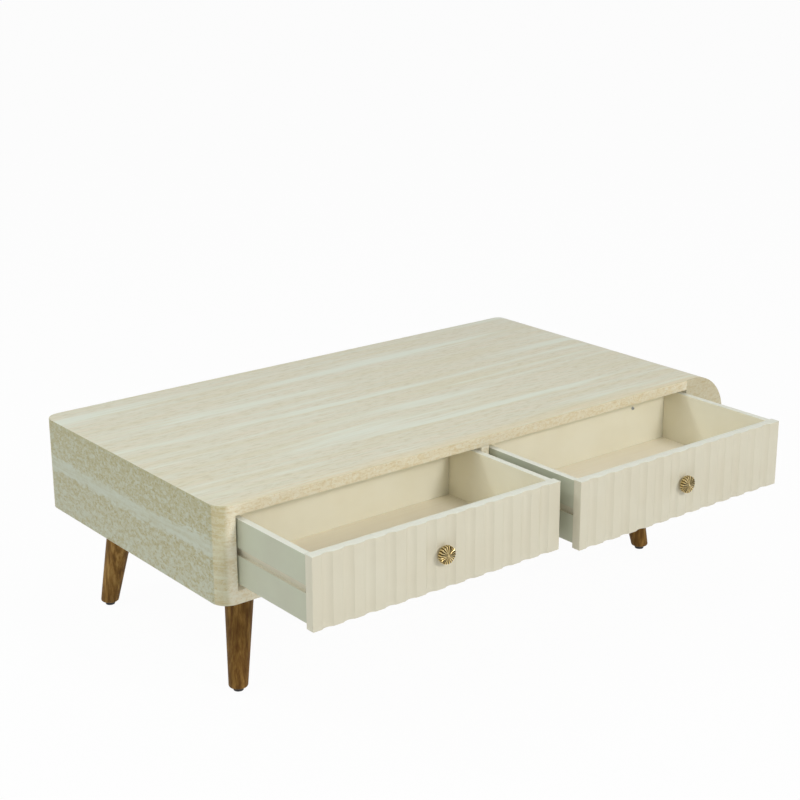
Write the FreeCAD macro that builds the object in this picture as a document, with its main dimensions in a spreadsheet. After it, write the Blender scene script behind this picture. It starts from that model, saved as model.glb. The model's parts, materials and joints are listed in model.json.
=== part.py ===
# Coffee table: a low case with a half-round right end, two drawers with fluted fronts that ride on
# wooden runners, and four splayed tapered legs. Millimetres, +Z up, front towards -Y. The origin is
# on the floor, below the middle of the table with its drawers pulled out.
import FreeCAD, Part
import os

doc = FreeCAD.newDocument("CoffeeTable")
vector = FreeCAD.Vector
rotation = FreeCAD.Rotation

driving_sizes = [
    ("case_width", "1200", "case, left to right"),
    ("case_depth", "600", "case, front to back"),
    ("case_height", "174", "case, top to bottom"),
    ("top_thick", "20", "top board"),
    ("bottom_thick", "24", "bottom board"),
    ("side_thick", "32", "left end board"),
    ("corner_radius", "30", "upright left corners, in plan"),
    ("divider_thick", "18", "board between the bays"),
    ("bulkhead_thick", "18", "board behind the half-round end"),
    ("back_thick", "12", "back board"),
    ("end_straight", "5", "flat run between bulkhead and half round"),
    ("end_wall", "12", "bent board of the half-round end"),
    ("end_cap_thick", "15", "boards that close the half-round end"),
    ("dowel_radius", "4", "case dowels"),
    ("dowel_in_edge", "18", "dowel length inside a board's edge"),
    ("dowel_in_face", "12", "dowel length inside a board's face"),
    ("dowel_inset", "80", "outer dowels, from the case's front and back"),
    ("front_gap_side", "2", "drawer front to bay, each side"),
    ("front_gap_top", "3.5", "drawer front to top board"),
    ("front_gap_bottom", "1.5", "drawer front to bottom board"),
    ("front_thick", "18", "drawer front"),
    ("flute_first", "28", "first flute from the front's left end"),
    ("flute_pitch", "41", "flute to flute"),
    ("flute_width", "22", "flute, across"),
    ("flute_depth", "3.5", "flute, deepest"),
    ("box_inset", "1", "drawer side behind the end of its front"),
    ("box_thick", "12", "drawer sides and back"),
    ("box_depth", "270", "drawer sides, front to back"),
    ("box_top_drop", "2", "drawer sides below the top of the front"),
    ("box_bottom_rise", "8.5", "drawer sides above the foot of the front"),
    ("base_thick", "5", "drawer bottom"),
    ("base_rise", "8", "drawer bottom above the foot of the sides"),
    ("base_tongue", "4", "drawer bottom inside each side"),
    ("groove_deep", "6", "runner groove in a drawer side"),
    ("runner_tall", "13", "runner strip"),
    ("runner_extra", "10", "runner strip longer than the drawer sides"),
    ("runner_setback", "2", "runner strip behind a closed drawer front"),
    ("runner_clear", "0.3", "runner strip to groove, each side"),
    ("runner_screw_end", "50", "outer screws from a runner's ends"),
    ("runner_screw_shift", "30", "right bay's screws behind the left bay's"),
    ("screw_radius", "1.75", "wood screw shank"),
    ("screw_head_radius", "3.4", "wood screw head"),
    ("screw_head_tall", "2", "wood screw head"),
    ("screw_in_board", "11", "wood screw past the piece it holds"),
    ("box_screw_long", "32", "screw through a drawer side into its back"),
    ("box_screw_inset", "16", "those screws from the back's upper and lower edges"),
    ("pin_radius", "3", "dowels between drawer side and front"),
    ("pin_in_front", "9", "those dowels inside the front"),
    ("pin_in_side", "16", "those dowels inside the side"),
    ("pin_inset", "22", "those dowels from the side's upper and lower edges"),
    ("stop_head_radius", "3.3", "screw head inside the drawer back"),
    ("stop_head_tall", "2.2", "screw head inside the drawer back"),
    ("stop_grip", "9", "that screw inside the drawer back"),
    ("stop_from_right", "103", "that screw from the right end of the front"),
    ("stop_from_top", "22", "that screw below the top of the back"),
    ("left_pull", "205", "left drawer, pulled out"),
    ("right_pull", "232", "right drawer, pulled out"),
    ("knob_foot_radius", "6", "knob stem at the front"),
    ("knob_neck_radius", "7", "knob stem under the head"),
    ("knob_radius", "16", "knob head"),
    ("knob_button_radius", "3", "middle of the knob's face"),
    ("knob_stem_long", "4", "knob stem"),
    ("knob_flare_long", "2.5", "flare from stem to head"),
    ("knob_rim_long", "6", "rim of the head"),
    ("knob_crown_long", "1.5", "raised face of the head"),
    ("knob_screw_radius", "2", "knob screw shank"),
    ("knob_screw_grip", "8", "knob screw inside the knob"),
    ("knob_screw_head_radius", "4", "knob screw head"),
    ("knob_screw_head_tall", "2.5", "knob screw head"),
    ("leg_tall", "189", "wooden leg"),
    ("leg_top_radius", "27", "leg at its top"),
    ("leg_foot_radius", "17", "leg above its lower edge"),
    ("leg_edge", "4", "bevel round the leg's lower end"),
    ("leg_splay", "26", "foot outside the leg's top, each way"),
    ("leg_from_left", "100", "leg top from the case's left end"),
    ("leg_from_right", "59", "leg top from the bottom board's right end"),
    ("leg_from_front", "103", "leg top from the case's front and back"),
    ("plate_wide", "72", "steel leg plate, square"),
    ("plate_thick", "3", "steel leg plate"),
    ("plate_screw_inset", "7", "plate screws from the plate's edges"),
    ("plate_screw_long", "18", "plate screws"),
    ("bolt_radius", "4", "hanger bolt"),
    ("bolt_in_leg", "36", "hanger bolt inside the leg"),
    ("bolt_in_case", "9", "hanger bolt inside the bottom board"),
    ("pad_radius", "9", "foot pad"),
    ("pad_tall", "7", "foot pad"),
    ("pad_pin_radius", "1.6", "pin of the foot pad"),
    ("pad_pin_long", "16", "pin of the foot pad, inside the leg"),
]

worked_out = [
    ("knob_back", "=Sizes.knob_stem_long + Sizes.knob_flare_long", "knob's rim, out from the drawer front"),
    ("knob_reach", "=knob_back + Sizes.knob_rim_long + Sizes.knob_crown_long", "knob, out from the front"),
    ("reach", "=max(Sizes.left_pull; Sizes.right_pull) + knob_reach", "furthest point in front of the case"),
    ("case_front", "=(reach - Sizes.case_depth) / 2", "y of the case's front"),
    ("case_back", "=case_front + Sizes.case_depth", "y of the case's back"),
    ("case_left", "=-Sizes.case_width / 2", "x of the case's left end"),
    ("leg_head", "=Sizes.pad_tall + Sizes.leg_tall", "z of the leg tops"),
    ("case_low", "=leg_head + Sizes.plate_thick", "z of the case's underside"),
    ("case_high", "=case_low + Sizes.case_height", "z of the table top"),
    ("corner", "=min(Sizes.corner_radius; Sizes.side_thick - 1)", "corner radius that the end board allows"),
    ("end_radius", "=Sizes.case_height / 2", "half-round end, outside"),
    ("end_hollow", "=end_radius - Sizes.end_wall", "half-round end, inside"),
    ("bay_low", "=case_low + Sizes.bottom_thick", "z of the bay floor"),
    ("bay_high", "=case_high - Sizes.top_thick", "z of the bay ceiling"),
    ("bay_height", "=bay_high - bay_low", "bay, up and down"),
    ("bay_depth", "=Sizes.case_depth - Sizes.back_thick", "bay, front to back"),
    ("boards_wide", "=Sizes.side_thick + Sizes.divider_thick + Sizes.bulkhead_thick", "upright boards"),
    ("end_wide", "=Sizes.end_straight + end_radius", "half-round end past its bulkhead"),
    ("bay_width", "=(Sizes.case_width - boards_wide - end_wide) / 2", "bay, left to right"),
    ("left_bay", "=case_left + Sizes.side_thick", "x of the left bay"),
    ("divider_left", "=left_bay + bay_width", "x of the divider"),
    ("right_bay", "=divider_left + Sizes.divider_thick", "x of the right bay"),
    ("bulkhead_left", "=right_bay + bay_width", "x of the bulkhead"),
    ("end_left", "=bulkhead_left + Sizes.bulkhead_thick", "x where the half-round end begins"),
    ("flat_wide", "=bulkhead_left - case_left", "top and bottom boards, left to right"),
    ("dowel_long", "=Sizes.dowel_in_edge + Sizes.dowel_in_face", "case dowel"),
    ("front_width", "=bay_width - 2 * Sizes.front_gap_side", "drawer front"),
    ("front_height", "=bay_height - Sizes.front_gap_top - Sizes.front_gap_bottom", "drawer front"),
    ("front_low", "=bay_low + Sizes.front_gap_bottom", "z of the drawer front's foot"),
    ("flute_radius", "=(Sizes.flute_width ^ 2 / 4 + Sizes.flute_depth ^ 2) / (2 * Sizes.flute_depth)",
     "round of a flute"),
    ("flute_room", "=front_width - Sizes.flute_first - Sizes.flute_width / 2", "run for the flutes"),
    ("flute_steps", "=floor(flute_room / Sizes.flute_pitch)", "flutes after the first"),
    ("box_width", "=front_width - 2 * Sizes.box_inset", "drawer box, outside"),
    ("box_inner", "=box_width - 2 * Sizes.box_thick", "drawer box, inside"),
    ("box_low", "=front_low + Sizes.box_bottom_rise", "z of the drawer sides' foot"),
    ("box_height", "=front_height - Sizes.box_top_drop - Sizes.box_bottom_rise", "drawer sides"),
    ("box_high", "=box_low + box_height", "z of the drawer sides' top"),
    ("box_middle", "=box_low + box_height / 2", "z of the runners' middle"),
    ("base_low", "=box_low + Sizes.base_rise", "z of the drawer bottom's underside"),
    ("base_high", "=base_low + Sizes.base_thick", "z of the drawer floor"),
    ("side_gap", "=Sizes.front_gap_side + Sizes.box_inset", "drawer side to bay wall"),
    ("runner_deep", "=side_gap + Sizes.groove_deep - Sizes.runner_clear", "runner strip, out from its wall"),
    ("runner_long", "=Sizes.box_depth + Sizes.runner_extra", "runner strip, front to back"),
    ("runner_screw_step", "=runner_long - 2 * Sizes.runner_screw_end - Sizes.runner_screw_shift",
     "screw to screw along a runner"),
    ("groove_tall", "=Sizes.runner_tall + 2 * Sizes.runner_clear", "runner groove"),
    ("runner_front", "=case_front + Sizes.front_thick + Sizes.runner_setback", "y of the runners' fronts"),
    ("left_drawer_x", "=left_bay + Sizes.front_gap_side", "x of the left drawer front"),
    ("right_drawer_x", "=right_bay + Sizes.front_gap_side", "x of the right drawer front"),
    ("left_drawer_y", "=case_front - Sizes.left_pull", "y of the left drawer front's face"),
    ("right_drawer_y", "=case_front - Sizes.right_pull", "y of the right drawer front's face"),
    ("knob_high", "=front_low + front_height / 2", "z of the knobs"),
    ("left_leg_x", "=case_left + Sizes.leg_from_left", "x of the left legs' tops"),
    ("right_leg_x", "=bulkhead_left - Sizes.leg_from_right", "x of the right legs' tops"),
    ("front_leg_y", "=case_front + Sizes.leg_from_front", "y of the front legs' tops"),
    ("back_leg_y", "=case_back - Sizes.leg_from_front", "y of the back legs' tops"),
]

# which way a round piece points, from its own +Z
pointing = {
    "+x": rotation(vector(0, 1, 0), 90),
    "-x": rotation(vector(0, 1, 0), -90),
    "+y": rotation(vector(1, 0, 0), -90),
    "-y": rotation(vector(1, 0, 0), 90),
    "+z": rotation(),
    "-z": rotation(vector(1, 0, 0), 180),
}
pieces = []


def fill(name, rows):
    sheet = doc.addObject("Spreadsheet::Sheet", name)
    for number, (alias, content, note) in enumerate(rows, 1):
        sheet.set(f"A{number}", note)
        sheet.set(f"B{number}", content)
        sheet.setAlias(f"B{number}", alias)
    doc.recompute()
    return sheet


def piece(thing, label):
    thing.Label = label
    pieces.append(thing)
    return thing


def bind(thing, **expressions):
    for name, expression in expressions.items():
        thing.setExpression(name, expression)


def place(thing, x, y, z):
    for axis, expression in zip("xyz", (x, y, z)):
        thing.setExpression("Placement.Base." + axis, expression)


def block(name, size, corner):
    box = doc.addObject("Part::Box", name)
    bind(box, Length=size[0], Width=size[1], Height=size[2])
    place(box, *corner)
    return box


def rod(name, radius, length, start, way):
    cylinder = doc.addObject("Part::Cylinder", name)
    cylinder.Placement = FreeCAD.Placement(vector(), pointing[way])
    bind(cylinder, Radius=radius, Height=length)
    place(cylinder, *start)
    return cylinder


def taper(name, first, last, length, start, way):
    cone = doc.addObject("Part::Cone", name)
    cone.Placement = FreeCAD.Placement(vector(), pointing[way])
    bind(cone, Radius1=first, Radius2=last, Height=length)
    place(cone, *start)
    return cone


def joined(name, things):
    fuse = doc.addObject("Part::MultiFuse", name)
    fuse.Shapes = things
    fuse.Refine = True
    return fuse


def group(name, things):
    compound = doc.addObject("Part::Compound", name)
    compound.Links = things
    return compound


def without(blank, *tools):
    # the blank with each tool's shape cut out of it
    for tool in tools:
        cut = doc.addObject("Part::Cut", blank.Name + "_cut")
        cut.Base = blank
        cut.Tool = tool
        blank = cut
    return blank


def wood_screw(name, length, start, way):
    # countersunk, with its head flush at the start
    radius = "Sizes.screw_radius"
    head = taper(name + "_head", "Sizes.screw_head_radius", radius, "Sizes.screw_head_tall", start, way)
    shank = rod(name + "_shank", radius, length, start, way)
    return joined(name, [head, shank])


def rounded_board(name, thick, low, wide):
    # full-depth board at the case's left end, with its two left corners rounded in plan
    body = doc.addObject("PartDesign::Body", name + "_body")
    board = body.newObject("PartDesign::AdditiveBox", name + "_board")
    bind(board, Length=wide, Width="Sizes.case_depth", Height=thick)
    place(body, "Places.case_left", "Places.case_front", low)
    doc.recompute()
    corners = []
    for number, edge in enumerate(board.Shape.Edges, 1):
        if all(abs(vertex.Point.x) < 0.01 for vertex in edge.Vertexes) and abs(edge.tangentAt(0).z) > 0.99:
            corners.append(f"Edge{number}")
    rounding = body.newObject("PartDesign::Fillet", name + "_corners")
    rounding.Base = (board, corners)
    bind(rounding, Radius="Places.corner")
    body.Tip = rounding
    return body


def half_round(name, radius, thick, y):
    # D-shaped solid: a flat run from the bulkhead, then half a disc that bulges to the right
    low = f"Places.case_low + Places.end_radius - {radius}"
    flat = block(name + "_flat", ("Sizes.end_straight", thick, f"2 * {radius}"), ("Places.end_left", y, low))
    disc = doc.addObject("Part::Cylinder", name + "_disc")
    facing_right = pointing["+y"].multiply(rotation(vector(0, 0, 1), -90))
    disc.Placement = FreeCAD.Placement(vector(), facing_right)
    disc.Angle = 180
    bind(disc, Radius=radius, Height=thick)
    place(disc, "Places.end_left + Sizes.end_straight", y, "Places.case_low + Places.end_radius")
    return joined(name, [flat, disc])


def case_dowels():
    places_y = (
        "Places.case_front + Sizes.dowel_inset",
        "Places.case_front + Sizes.case_depth / 2",
        "Places.case_back - Sizes.dowel_inset",
    )
    uprights = ("Places.case_left + Sizes.side_thick / 2", "Places.divider_left + Sizes.divider_thick / 2")
    radius = "Sizes.dowel_radius"
    length = "Places.dowel_long"
    dowels = []
    for y in places_y:
        for x in uprights:
            above = (x, y, "Places.bay_high - Sizes.dowel_in_edge")
            below = (x, y, "Places.bay_low + Sizes.dowel_in_edge")
            dowels.append(rod("upper_dowel", radius, length, above, "+z"))
            dowels.append(rod("lower_dowel", radius, length, below, "-z"))
        for z in ("Places.case_high - Sizes.top_thick / 2", "Places.case_low + Sizes.bottom_thick / 2"):
            inside = ("Places.bulkhead_left - Sizes.dowel_in_edge", y, z)
            dowels.append(rod("end_dowel", radius, length, inside, "+x"))
    return piece(group("dowels", dowels), "case_dowels")


def runner(label, wall, way, screws_y):
    # strip on a bay wall, with two countersunk screws through it into that wall
    y = "Places.runner_front"
    corner_x = wall if way == "+x" else f"{wall} - Places.runner_deep"
    face_x = f"{wall} + Places.runner_deep" if way == "+x" else corner_x
    size = ("Places.runner_deep", "Places.runner_long", "Sizes.runner_tall")
    strip = block(label + "_strip", size, (corner_x, y, "Places.box_middle - Sizes.runner_tall / 2"))
    into = "-x" if way == "+x" else "+x"
    length = "Places.runner_deep + Sizes.screw_in_board"
    screws = []
    for step in range(2):
        screw_y = f"{y} + {screws_y} + {step} * Places.runner_screw_step"
        screws.append(wood_screw(label + "_screw", length, (face_x, screw_y, "Places.box_middle"), into))
    piece(without(strip, *screws), label)
    return screws


def drawer(side):
    # one drawer: fluted front, grooved sides, back, bottom, knob and what holds them together
    label = side + "_drawer_"
    x = f"Places.{side}_drawer_x"
    y = f"Places.{side}_drawer_y"
    box_x = f"{x} + Sizes.box_inset"
    box_y = f"{y} + Sizes.front_thick"
    inner_x = f"{box_x} + Sizes.box_thick"
    right_x = f"{inner_x} + Places.box_inner"
    back_y = f"{box_y} + Sizes.box_depth - Sizes.box_thick"
    middle_x = f"{x} + Places.front_width / 2"

    # dowels from the front into the ends of the sides
    dowels = []
    for centre_x in (f"{box_x} + Sizes.box_thick / 2", f"{right_x} + Sizes.box_thick / 2"):
        for z in ("Places.box_low + Sizes.pin_inset", "Places.box_high - Sizes.pin_inset"):
            start = (centre_x, f"{box_y} - Sizes.pin_in_front", z)
            length = "Sizes.pin_in_front + Sizes.pin_in_side"
            dowels.append(rod(label + "dowel", "Sizes.pin_radius", length, start, "+y"))
    front_dowels = piece(group(label + "dowels", dowels), label + "front_dowels")

    # screws through the sides into the ends of the back
    screws = []
    for start_x, way in ((box_x, "+x"), (f"{right_x} + Sizes.box_thick", "-x")):
        for z in ("Places.base_high + Sizes.box_screw_inset", "Places.box_high - Sizes.box_screw_inset"):
            start = (start_x, f"{back_y} + Sizes.box_thick / 2", z)
            screws.append(wood_screw(label + "screw", "Sizes.box_screw_long", start, way))
    box_screws = piece(group(label + "screws", screws), label + "box_screws")

    # steel screw with a flat round head on the inner face of the back
    stop_start = (
        f"{x} + Places.front_width - Sizes.stop_from_right",
        f"{back_y} - Sizes.stop_head_tall",
        "Places.box_high - Sizes.stop_from_top",
    )
    stop_head = rod(label + "stop_head", "Sizes.stop_head_radius", "Sizes.stop_head_tall", stop_start, "+y")
    stop_long = "Sizes.stop_head_tall + Sizes.stop_grip"
    stop_shank = rod(label + "stop_shank", "Sizes.screw_radius", stop_long, stop_start, "+y")
    stop_screw = piece(joined(label + "stop", [stop_head, stop_shank]), label + "stop_screw")

    # knob and its screw, which goes through the front from inside
    screw_start = (middle_x, f"{box_y} + Sizes.knob_screw_head_tall", "Places.knob_high")
    head_tall = "Sizes.knob_screw_head_tall"
    screw_head = rod(label + "knob_head", "Sizes.knob_screw_head_radius", head_tall, screw_start, "-y")
    shank_long = "Sizes.knob_screw_head_tall + Sizes.front_thick + Sizes.knob_screw_grip"
    screw_shank = rod(label + "knob_shank", "Sizes.knob_screw_radius", shank_long, screw_start, "-y")
    knob_screw = piece(joined(label + "knob_bolt", [screw_head, screw_shank]), label + "knob_screw")
    stages = (
        ("stem", "Sizes.knob_foot_radius", "Sizes.knob_neck_radius", "Sizes.knob_stem_long"),
        ("flare", "Sizes.knob_neck_radius", "Sizes.knob_radius", "Sizes.knob_flare_long"),
        ("rim", "Sizes.knob_radius", "Sizes.knob_radius", "Sizes.knob_rim_long"),
        ("crown", "Sizes.knob_radius", "Sizes.knob_button_radius", "Sizes.knob_crown_long"),
    )
    turned = []
    stage_y = y
    for name, first, last, length in stages:
        start = (middle_x, stage_y, "Places.knob_high")
        if first == last:
            turned.append(rod(label + name, first, length, start, "-y"))
        else:
            turned.append(taper(label + name, first, last, length, start, "-y"))
        stage_y = f"{stage_y} - {length}"
    piece(without(joined(label + "turned", turned), knob_screw), label + "knob")

    # fluted front
    body = doc.addObject("PartDesign::Body", label + "front_body")
    board = body.newObject("PartDesign::AdditiveBox", label + "front_board")
    bind(board, Length="Places.front_width", Width="Sizes.front_thick", Height="Places.front_height")
    flute = body.newObject("PartDesign::SubtractiveCylinder", label + "flute")
    bind(flute, Radius="Places.flute_radius", Height="Places.front_height")
    place(flute, "Sizes.flute_first", "Sizes.flute_depth - Places.flute_radius", "0")
    place(body, x, y, "Places.front_low")
    doc.recompute()
    flutes = body.newObject("PartDesign::LinearPattern", label + "flutes")
    flutes.Originals = [flute]
    along = [axis for axis in body.Origin.OriginFeatures if axis.Role == "X_Axis"][0]
    flutes.Direction = (along, [""])
    bind(flutes, Length="Sizes.flute_pitch * Places.flute_steps", Occurrences="Places.flute_steps + 1")
    body.Tip = flutes
    piece(without(body, front_dowels, knob_screw), label + "front")

    # sides, with the runner's groove outside and the bottom's groove inside
    side_size = ("Sizes.box_thick", "Sizes.box_depth", "Places.box_height")
    groove_size = ("Sizes.groove_deep", "Sizes.box_depth", "Places.groove_tall")
    groove_z = "Places.box_middle - Places.groove_tall / 2"
    tongue_size = ("Sizes.base_tongue", "Sizes.box_depth", "Sizes.base_thick")
    outer_groove = {"left": box_x, "right": f"{right_x} + Sizes.box_thick - Sizes.groove_deep"}
    inner_groove = {"left": f"{inner_x} - Sizes.base_tongue", "right": right_x}
    for hand, side_x in (("left", box_x), ("right", right_x)):
        blank = block(label + hand, side_size, (side_x, box_y, "Places.box_low"))
        groove = block(label + hand + "_groove", groove_size, (outer_groove[hand], box_y, groove_z))
        slot = block(label + hand + "_slot", tongue_size, (inner_groove[hand], box_y, "Places.base_low"))
        piece(without(blank, groove, slot, front_dowels, box_screws), label + "side_" + hand)

    # bottom, held in the sides' grooves, and back, which stands on it
    base_size = ("Places.box_inner + 2 * Sizes.base_tongue", "Sizes.box_depth", "Sizes.base_thick")
    base = block(label + "base", base_size, (inner_groove["left"], box_y, "Places.base_low"))
    piece(base, label + "bottom")
    back_size = ("Places.box_inner", "Sizes.box_thick", "Places.box_high - Places.base_high")
    back = block(label + "back_board", back_size, (inner_x, back_y, "Places.base_high"))
    piece(without(back, box_screws, stop_screw), label + "back")


def leg(end, hand, bolts, plate_screws):
    # splayed leg between its plate and its pad, with bolt and pin inside it
    label = f"{end}_{hand}_"
    out_x = "-" if hand == "left" else "+"
    out_y = "-" if end == "front" else "+"
    x = f"Places.{hand}_leg_x"
    y = f"Places.{end}_leg_y"
    foot_x = f"{x} {out_x} Sizes.leg_splay"
    foot_y = f"{y} {out_y} Sizes.leg_splay"
    sections = (
        (foot_x, foot_y, "Sizes.pad_tall", "Sizes.leg_foot_radius - Sizes.leg_edge"),
        (foot_x, foot_y, "Sizes.pad_tall + Sizes.leg_edge", "Sizes.leg_foot_radius"),
        (x, y, "Places.leg_head", "Sizes.leg_top_radius"),
    )
    circles = []
    for circle_x, circle_y, z, radius in sections:
        circle = doc.addObject("Part::Circle", label + "section")
        bind(circle, Radius=radius)
        place(circle, circle_x, circle_y, z)
        circles.append(circle)
    turned = doc.addObject("Part::Loft", label + "turned")
    turned.Sections = circles
    turned.Solid = True
    turned.Ruled = True

    disc = rod(label + "pad_disc", "Sizes.pad_radius", "Sizes.pad_tall", (foot_x, foot_y, "0"), "+z")
    pin_long = "Sizes.pad_tall + Sizes.pad_pin_long"
    pin = rod(label + "pad_pin", "Sizes.pad_pin_radius", pin_long, (foot_x, foot_y, "0"), "+z")
    pad = piece(joined(label + "pad", [disc, pin]), label + "foot_pad")

    bolt_long = "Sizes.bolt_in_case + Sizes.plate_thick + Sizes.bolt_in_leg"
    bolt_top = (x, y, "Places.case_low + Sizes.bolt_in_case")
    bolt = rod(label + "bolt", "Sizes.bolt_radius", bolt_long, bolt_top, "-z")
    bolts.append(bolt)
    piece(without(turned, bolt, pad), label + "leg")

    half = "Sizes.plate_wide / 2"
    plate_size = ("Sizes.plate_wide", "Sizes.plate_wide", "Sizes.plate_thick")
    plate = block(label + "plate", plate_size, (f"{x} - {half}", f"{y} - {half}", "Places.leg_head"))
    screws = []
    for sign_x in "-+":
        for sign_y in "-+":
            screw_x = f"{x} {sign_x} ({half} - Sizes.plate_screw_inset)"
            screw_y = f"{y} {sign_y} ({half} - Sizes.plate_screw_inset)"
            start = (screw_x, screw_y, "Places.leg_head")
            screws.append(wood_screw(label + "plate_screw", "Sizes.plate_screw_long", start, "+z"))
    plate_screws.extend(screws)
    piece(without(plate, bolt, *screws), label + "leg_plate")


def case():
    dowels = case_dowels()
    left_screws = "Sizes.runner_screw_end"
    right_screws = "Sizes.runner_screw_end + Sizes.runner_screw_shift"
    wall_screws = {
        "side": runner("left_bay_runner_left", "Places.left_bay", "+x", left_screws),
        "divider_left": runner("left_bay_runner_right", "Places.divider_left", "-x", left_screws),
        "divider_right": runner("right_bay_runner_left", "Places.right_bay", "+x", right_screws),
        "bulkhead": runner("right_bay_runner_right", "Places.bulkhead_left", "-x", right_screws),
    }
    all_runner_screws = [screw for screws in wall_screws.values() for screw in screws]
    piece(group("runner_fixings", all_runner_screws), "runner_screws")

    bolts = []
    plate_screws = []
    for end in ("front", "back"):
        for hand in ("left", "right"):
            leg(end, hand, bolts, plate_screws)
    hanger_bolts = piece(group("bolts", bolts), "hanger_bolts")
    plate_fixings = piece(group("plate_fixings", plate_screws), "plate_screws")

    top = rounded_board("top", "Sizes.top_thick", "Places.bay_high", "Places.flat_wide")
    piece(without(top, dowels), "top_panel")
    bottom = rounded_board("bottom", "Sizes.bottom_thick", "Places.case_low", "Places.flat_wide")
    piece(without(bottom, dowels, hanger_bolts, plate_fixings), "bottom_panel")
    side = rounded_board("side", "Places.bay_height", "Places.bay_low", "Sizes.side_thick")
    piece(without(side, dowels, *wall_screws["side"]), "left_side_panel")

    front = "Places.case_front"
    upright = ("Sizes.divider_thick", "Places.bay_depth", "Places.bay_height")
    divider = block("divider", upright, ("Places.divider_left", front, "Places.bay_low"))
    divider_screws = wall_screws["divider_left"] + wall_screws["divider_right"]
    piece(without(divider, dowels, *divider_screws), "center_divider")
    full = ("Sizes.bulkhead_thick", "Sizes.case_depth", "Sizes.case_height")
    bulkhead = block("bulkhead", full, ("Places.bulkhead_left", front, "Places.case_low"))
    piece(without(bulkhead, dowels, *wall_screws["bulkhead"]), "right_bulkhead")

    back_size = ("Places.bulkhead_left - Places.left_bay", "Sizes.back_thick", "Places.bay_height")
    back_corner = ("Places.left_bay", "Places.case_back - Sizes.back_thick", "Places.bay_low")
    back = block("back", back_size, back_corner)
    piece(without(back, dowels), "back_panel")

    cap = "Sizes.end_cap_thick"
    piece(half_round("front_cap", "Places.end_radius", cap, front), "end_cap_front")
    piece(half_round("back_cap", "Places.end_radius", cap, f"Places.case_back - {cap}"), "end_cap_back")
    between = f"Sizes.case_depth - 2 * {cap}"
    outer = half_round("end_outer", "Places.end_radius", between, f"{front} + {cap}")
    hollow = half_round("end_inner", "Places.end_hollow", between, f"{front} + {cap}")
    piece(without(outer, hollow), "end_curve_panel")
    rib_y = f"{front} + Sizes.case_depth / 2 - {cap} / 2"
    piece(half_round("rib", "Places.end_hollow", cap, rib_y), "end_rib")


def check():
    doc.recompute()
    for thing in doc.Objects:
        if "Invalid" in thing.State or "Error" in thing.State:
            raise RuntimeError(f"{thing.Label} failed: {thing.State}")
    for thing in pieces:
        if thing.Shape.isNull() or not thing.Shape.isValid() or thing.Shape.Volume <= 0:
            raise RuntimeError(f"{thing.Label} has no valid solid")


fill("Sizes", driving_sizes)
fill("Places", worked_out)
case()
drawer("left")
drawer("right")
check()
os.makedirs("parts", exist_ok=True)
for thing in pieces:
    thing.Shape.exportStep(f"parts/{thing.Label}.step")
    print(thing.Label, len(thing.Shape.Solids), "solids,", round(thing.Shape.Volume), "mm3")
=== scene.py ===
import bpy
import bmesh
import json
import math
from mathutils import Matrix, Vector


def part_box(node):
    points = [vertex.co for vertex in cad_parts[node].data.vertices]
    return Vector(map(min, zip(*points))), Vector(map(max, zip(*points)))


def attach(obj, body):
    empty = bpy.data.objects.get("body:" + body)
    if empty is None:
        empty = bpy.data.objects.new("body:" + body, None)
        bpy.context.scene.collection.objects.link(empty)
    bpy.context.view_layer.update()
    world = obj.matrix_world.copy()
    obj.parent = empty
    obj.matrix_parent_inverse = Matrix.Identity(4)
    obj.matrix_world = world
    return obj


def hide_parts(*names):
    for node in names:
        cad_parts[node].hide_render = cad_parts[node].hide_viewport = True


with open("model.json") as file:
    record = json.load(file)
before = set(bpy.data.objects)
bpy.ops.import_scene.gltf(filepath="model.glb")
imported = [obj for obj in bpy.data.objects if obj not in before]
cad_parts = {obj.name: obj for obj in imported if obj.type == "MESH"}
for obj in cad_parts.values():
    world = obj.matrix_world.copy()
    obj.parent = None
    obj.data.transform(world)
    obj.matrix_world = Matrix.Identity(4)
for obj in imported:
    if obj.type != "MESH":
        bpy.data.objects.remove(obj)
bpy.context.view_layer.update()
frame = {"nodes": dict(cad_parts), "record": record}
nodes = frame["nodes"]
scene = bpy.context.scene
scene.view_settings.view_transform = "Standard"
topLow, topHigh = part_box("top_panel")
print("frame loaded:", len(nodes), "nodes")


def tint(red, green, blue):
    # 0-255 screen colour to the linear colour that a socket takes
    linear = []
    for level in (red / 255, green / 255, blue / 255):
        linear.append(((level + 0.055) / 1.055) ** 2.4 if level > 0.04 else level / 12.92)
    return (*linear, 1.0)


class Wire:
    # one output socket, with arithmetic that adds Math nodes
    def __init__(self, shade, socket):
        self.shade = shade
        self.socket = socket

    def __add__(self, other):
        return self.shade.math("ADD", self, other)

    def __radd__(self, other):
        return self.shade.math("ADD", other, self)

    def __sub__(self, other):
        return self.shade.math("SUBTRACT", self, other)

    def __rsub__(self, other):
        return self.shade.math("SUBTRACT", other, self)

    def __mul__(self, other):
        return self.shade.math("MULTIPLY", self, other)

    def __rmul__(self, other):
        return self.shade.math("MULTIPLY", other, self)

    def __truediv__(self, other):
        return self.shade.math("DIVIDE", self, other)

    def __rtruediv__(self, other):
        return self.shade.math("DIVIDE", other, self)

    def __abs__(self):
        return self.shade.math("ABSOLUTE", self)


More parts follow.
